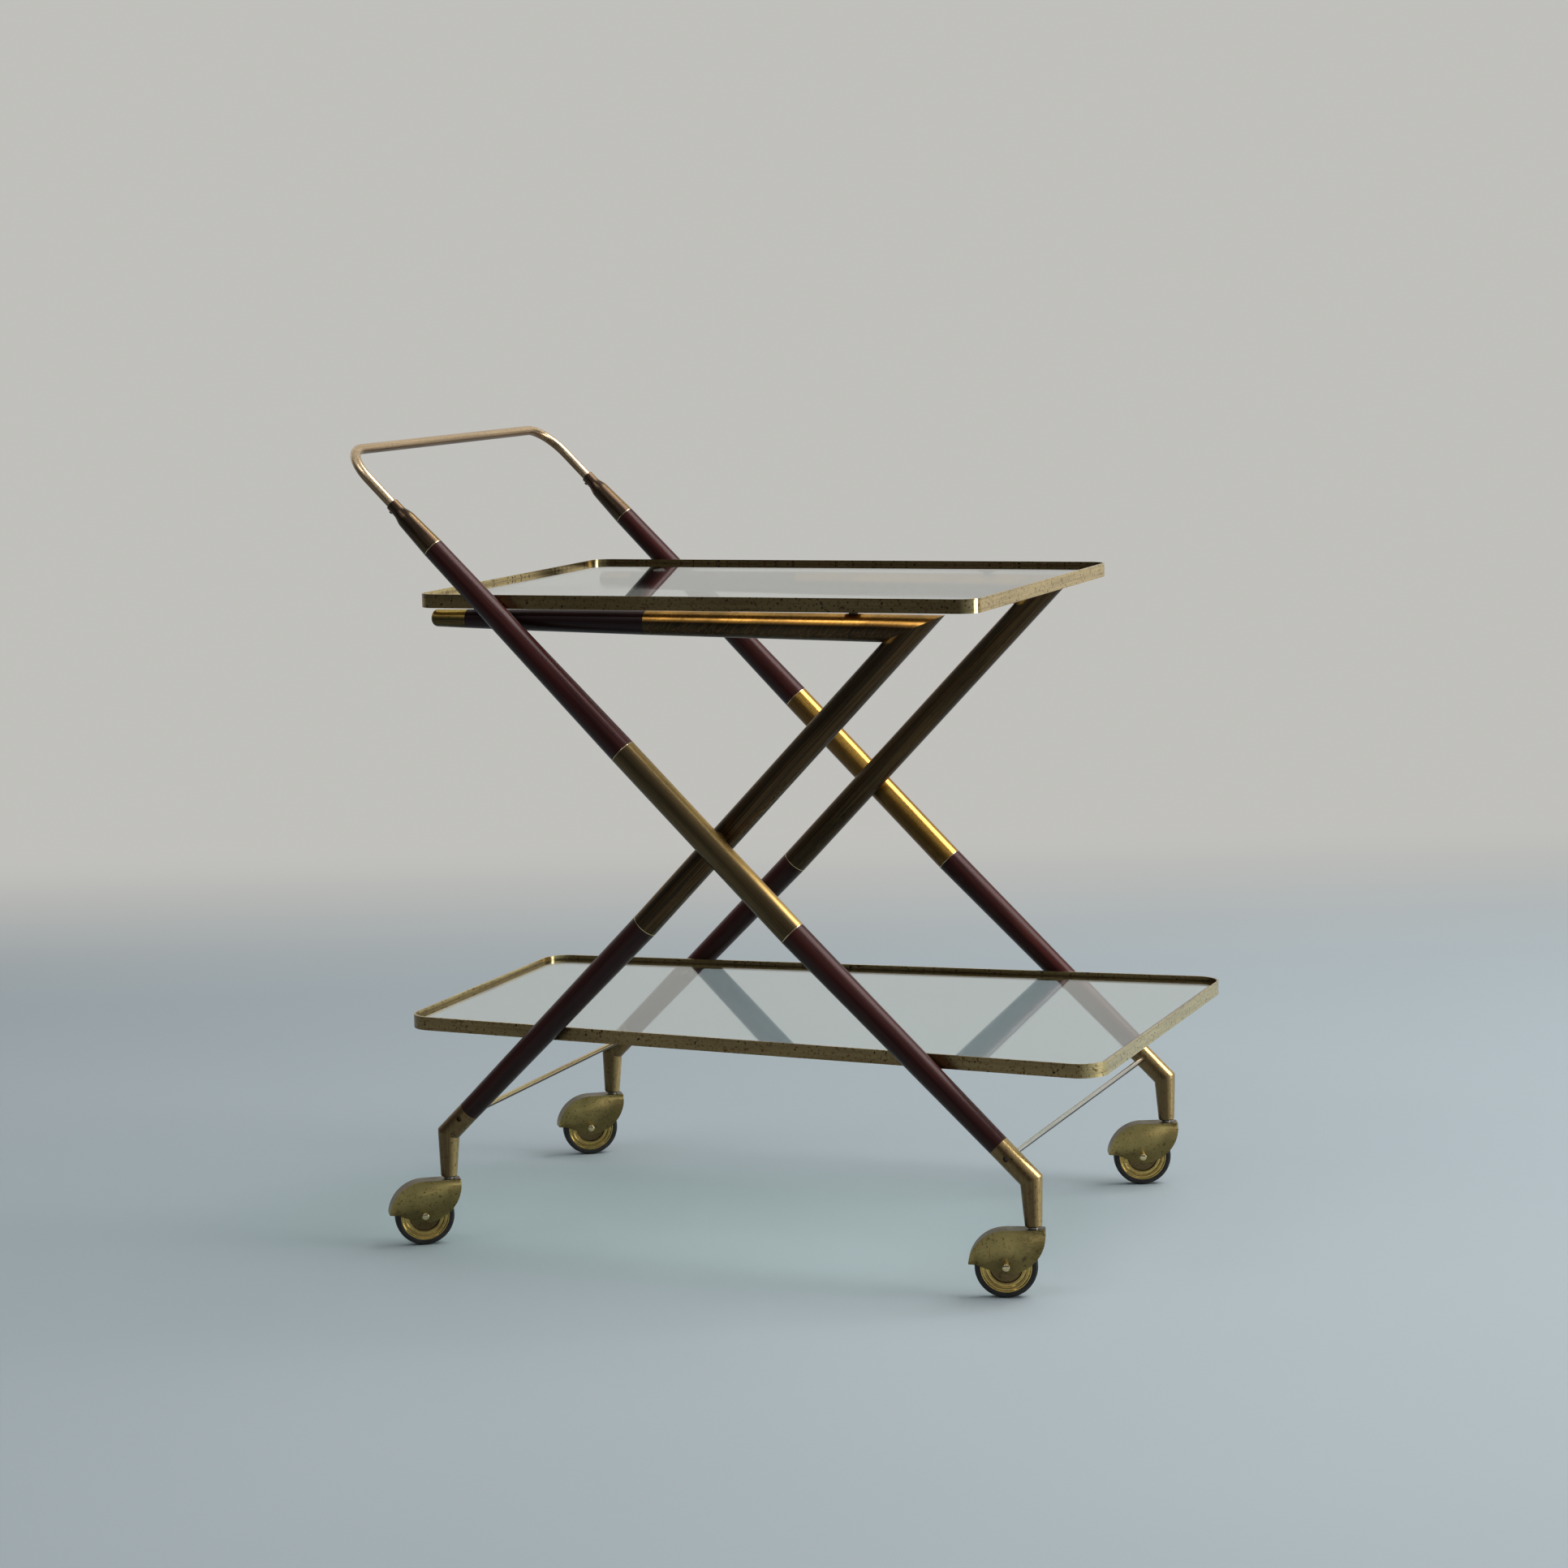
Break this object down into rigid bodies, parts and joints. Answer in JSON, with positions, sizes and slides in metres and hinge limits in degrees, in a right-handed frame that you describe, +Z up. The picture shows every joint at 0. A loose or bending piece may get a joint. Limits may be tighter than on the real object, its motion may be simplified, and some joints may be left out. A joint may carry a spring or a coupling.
{
  "type": "folding bar cart",
  "caption": "Folding cross-legged bar cart with brass and turned-wood legs, lift-off glass trays, a push handle and hooded casters.",
  "frame": {"origin": "on the floor, midway between the near and far legs, straight below their crossing; the bounding box is centred on it along X and, because the casters stand turned, about 5 mm off it along Y", "axes": "+X away from the push handle, +Y to the far side, +Z up"},
  "size_m": [0.6986, 0.4552, 0.7305],
  "materials": {
    "aged_brass": "aged, dark spots, worn bright edges",
    "wood": "satin varnish on dark red-brown wood",
    "glass": "clear, faintly green, polished",
    "tyre": "dull, worn",
    "steel": "dull"
  },
  "bodies": {
    "outer_frame": {"push_handle": "aged_brass", "handle_set_screws": "aged_brass", "outer_crossbar": "aged_brass", "outer_tray_pegs": "aged_brass", "ferrule_near": "aged_brass", "outer_upper_wood_near": "wood", "outer_sleeve_near": "aged_brass", "outer_pivot_bush_near": "steel", "pivot_pin_near": "steel", "pivot_washer_near": "aged_brass", "outer_lower_wood_near": "wood", "outer_foot_near": "aged_brass", "ferrule_far": "aged_brass", "outer_upper_wood_far": "wood", "outer_sleeve_far": "aged_brass", "outer_pivot_bush_far": "steel", "pivot_pin_far": "steel", "pivot_washer_far": "aged_brass", "outer_lower_wood_far": "wood", "outer_foot_far": "aged_brass"},
    "inner_frame": {"inner_crossbar": "aged_brass", "inner_tray_pegs": "aged_brass", "rail_pegs": "aged_brass", "rail_cap_near": "aged_brass", "rail_wood_near": "wood", "rail_bend_near": "aged_brass", "inner_pivot_bush_near": "steel", "inner_lower_wood_near": "wood", "inner_foot_near": "aged_brass", "rail_cap_far": "aged_brass", "rail_wood_far": "wood", "rail_bend_far": "aged_brass", "inner_pivot_bush_far": "steel", "inner_lower_wood_far": "wood", "inner_foot_far": "aged_brass"},
    "upper_tray": {"upper_tray_rim": "aged_brass", "upper_tray_glass": "glass"},
    "lower_tray": {"lower_tray_rim": "aged_brass", "lower_tray_glass": "glass"},
    "outer_near_caster": {"outer_near_caster_stem": "steel", "outer_near_caster_hood": "aged_brass", "outer_near_caster_axle": "aged_brass"},
    "outer_near_wheel": {"outer_near_wheel_disc": "aged_brass", "outer_near_tyre": "tyre"},
    "outer_far_caster": {"outer_far_caster_stem": "steel", "outer_far_caster_hood": "aged_brass", "outer_far_caster_axle": "aged_brass"},
    "outer_far_wheel": {"outer_far_wheel_disc": "aged_brass", "outer_far_tyre": "tyre"},
    "inner_near_caster": {"inner_near_caster_stem": "steel", "inner_near_caster_hood": "aged_brass", "inner_near_caster_axle": "aged_brass"},
    "inner_near_wheel": {"inner_near_wheel_disc": "aged_brass", "inner_near_tyre": "tyre"},
    "inner_far_caster": {"inner_far_caster_stem": "steel", "inner_far_caster_hood": "aged_brass", "inner_far_caster_axle": "aged_brass"},
    "inner_far_wheel": {"inner_far_wheel_disc": "aged_brass", "inner_far_tyre": "tyre"}
  },
  "joints": [
    {"name": "frame_fold", "type": "hinge", "parent": "outer_frame", "child": "inner_frame", "pos_m": [0, 0, 0.3816], "axis": [0, -1, 0], "range_deg": [0, 70]},
    {"name": "upper_tray_lift", "type": "slide", "parent": "inner_frame", "child": "upper_tray", "axis": [0, 0, 1], "range_m": [0, 0.15]},
    {"name": "lower_tray_draw", "type": "slide", "parent": "inner_frame", "child": "lower_tray", "axis": [0.866, 0, 0.5], "range_m": [0, 0.25]},
    {"name": "outer_near_caster_swivel", "type": "hinge", "parent": "outer_frame", "child": "outer_near_caster", "pos_m": [0.28989, -0.21, 0.06], "axis": [0, 0, 1], "continuous": true},
    {"name": "outer_near_wheel_roll", "type": "hinge", "parent": "outer_near_caster", "child": "outer_near_wheel", "pos_m": [0.26702, -0.21656, 0.0273], "axis": [-0.2756, 0.9613, 0], "continuous": true},
    {"name": "outer_far_caster_swivel", "type": "hinge", "parent": "outer_frame", "child": "outer_far_caster", "pos_m": [0.28989, 0.21, 0.06], "axis": [0, 0, 1], "continuous": true},
    {"name": "outer_far_wheel_roll", "type": "hinge", "parent": "outer_far_caster", "child": "outer_far_wheel", "pos_m": [0.26799, 0.2007, 0.0273], "axis": [-0.3907, 0.9205, 0], "continuous": true},
    {"name": "inner_near_caster_swivel", "type": "hinge", "parent": "inner_frame", "child": "inner_near_caster", "pos_m": [-0.27918, -0.1838, 0.06], "axis": [0, 0, 1], "continuous": true},
    {"name": "inner_near_wheel_roll", "type": "hinge", "parent": "inner_near_caster", "child": "inner_near_wheel", "pos_m": [-0.29891, -0.19711, 0.0273], "axis": [-0.5592, 0.829, 0], "continuous": true},
    {"name": "inner_far_caster_swivel", "type": "hinge", "parent": "inner_frame", "child": "inner_far_caster", "pos_m": [-0.27918, 0.1838, 0.06], "axis": [0, 0, 1], "continuous": true},
    {"name": "inner_far_wheel_roll", "type": "hinge", "parent": "inner_far_caster", "child": "inner_far_wheel", "pos_m": [-0.29891, 0.17049, 0.0273], "axis": [-0.5592, 0.829, 0], "continuous": true}
  ]
}
